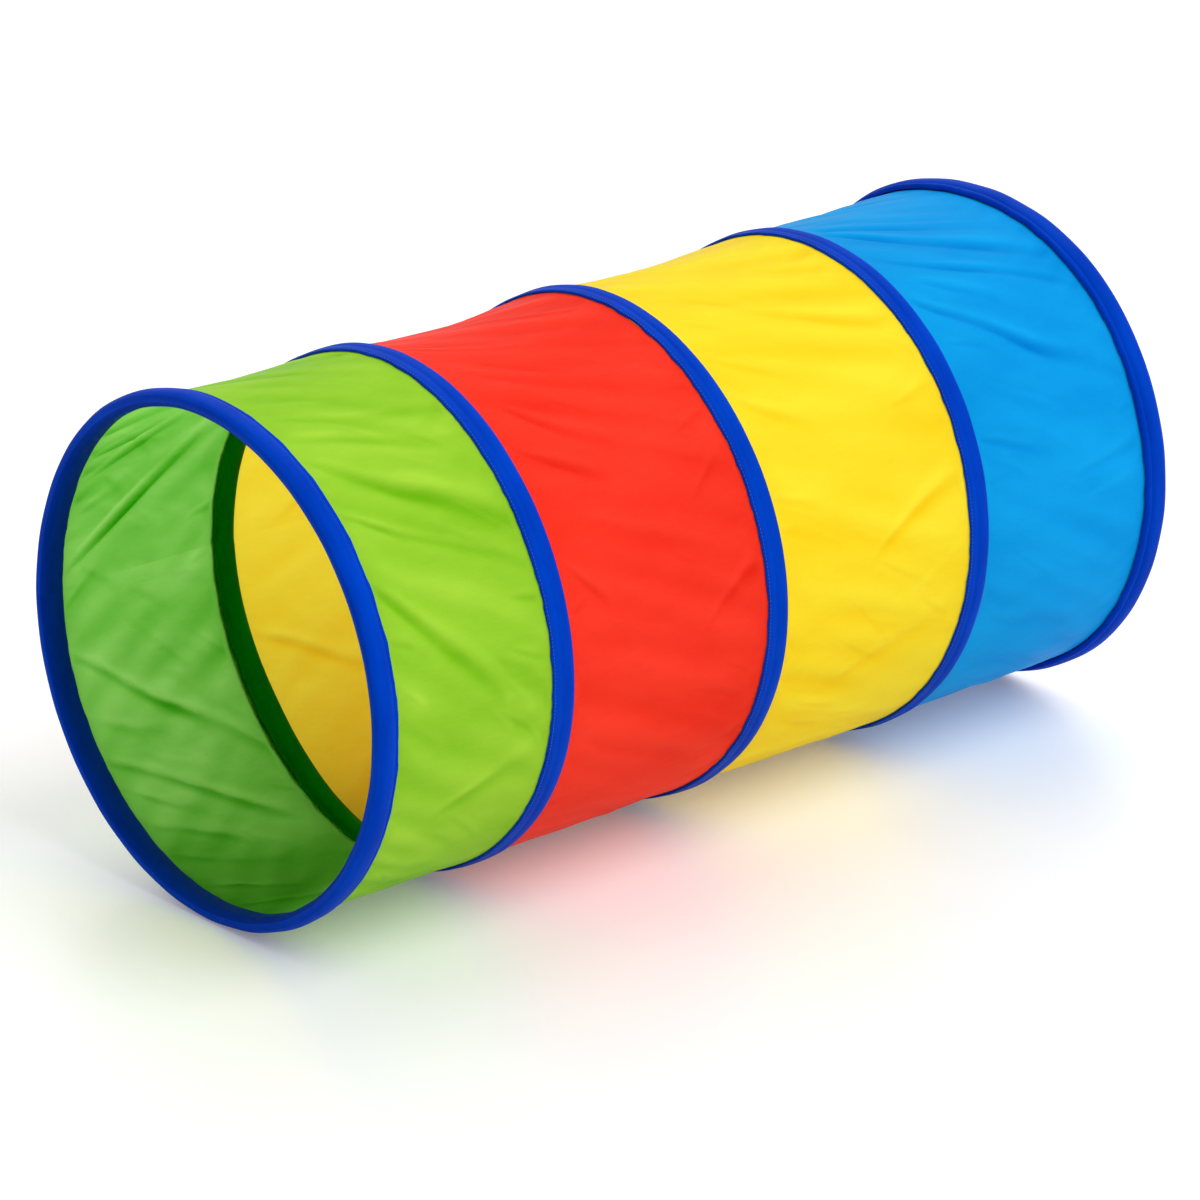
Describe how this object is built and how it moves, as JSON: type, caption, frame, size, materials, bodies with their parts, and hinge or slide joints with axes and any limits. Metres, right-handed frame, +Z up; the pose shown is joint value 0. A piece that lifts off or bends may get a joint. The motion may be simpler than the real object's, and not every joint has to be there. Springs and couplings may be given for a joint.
{
  "type": "kids play tunnel",
  "caption": "Crawl-through play tunnel: coloured cloth bays between wire hoops sewn into blue tape, which closes up lengthwise like a concertina.",
  "frame": {"origin": "on the floor, under the middle of the tunnel's length", "axes": "+X along the tunnel from the green front bay to the light blue rear bay, +Z up"},
  "size_m": [0.9362, 0.4744, 0.4745],
  "materials": {
    "blue_tape": "woven polyester tape, soft sheen",
    "green_facing": "dark green woven polyester",
    "ochre_facing": "dark yellow woven polyester",
    "green_cloth": "thin satin polyester, slightly translucent",
    "red_cloth": "thin satin polyester, red outside and yellow on its inner face",
    "yellow_cloth": "thin satin polyester, slightly translucent",
    "light_blue_cloth": "thin satin polyester, slightly translucent",
    "spring_wire": "drawn spring steel",
    "ferrule": "crimped plated steel"
  },
  "bodies": {
    "ring_3": {"ring_3_casing": "blue_tape", "ring_3_facing": "ochre_facing", "ring_3_hoop": "spring_wire", "ring_3_ferrule": "ferrule", "red_panel": "red_cloth", "yellow_panel": "yellow_cloth"},
    "ring_2": {"ring_2_casing": "blue_tape", "ring_2_facing": "green_facing", "ring_2_hoop": "spring_wire", "ring_2_ferrule": "ferrule", "green_panel": "green_cloth"},
    "ring_1": {"front_binding": "blue_tape", "ring_1_hoop": "spring_wire", "ring_1_ferrule": "ferrule"},
    "ring_4": {"ring_4_casing": "blue_tape", "ring_4_facing": "ochre_facing", "ring_4_hoop": "spring_wire", "ring_4_ferrule": "ferrule", "blue_panel": "light_blue_cloth"},
    "ring_5": {"rear_binding": "blue_tape", "ring_5_hoop": "spring_wire", "ring_5_ferrule": "ferrule"}
  },
  "joints": [
    {"name": "red_bay_close", "type": "slide", "parent": "ring_3", "child": "ring_2", "axis": [1, 0, 0], "range_m": [0, 0.2114], "deforming": ["red_panel"]},
    {"name": "green_bay_close", "type": "slide", "parent": "ring_2", "child": "ring_1", "axis": [1, 0, 0], "range_m": [0, 0.1598], "deforming": ["green_panel"]},
    {"name": "yellow_bay_close", "type": "slide", "parent": "ring_3", "child": "ring_4", "axis": [-1, 0, 0], "range_m": [0, 0.2129], "deforming": ["yellow_panel"]},
    {"name": "blue_bay_close", "type": "slide", "parent": "ring_4", "child": "ring_5", "axis": [-1, 0, 0], "range_m": [0, 0.1886], "deforming": ["blue_panel"]}
  ]
}
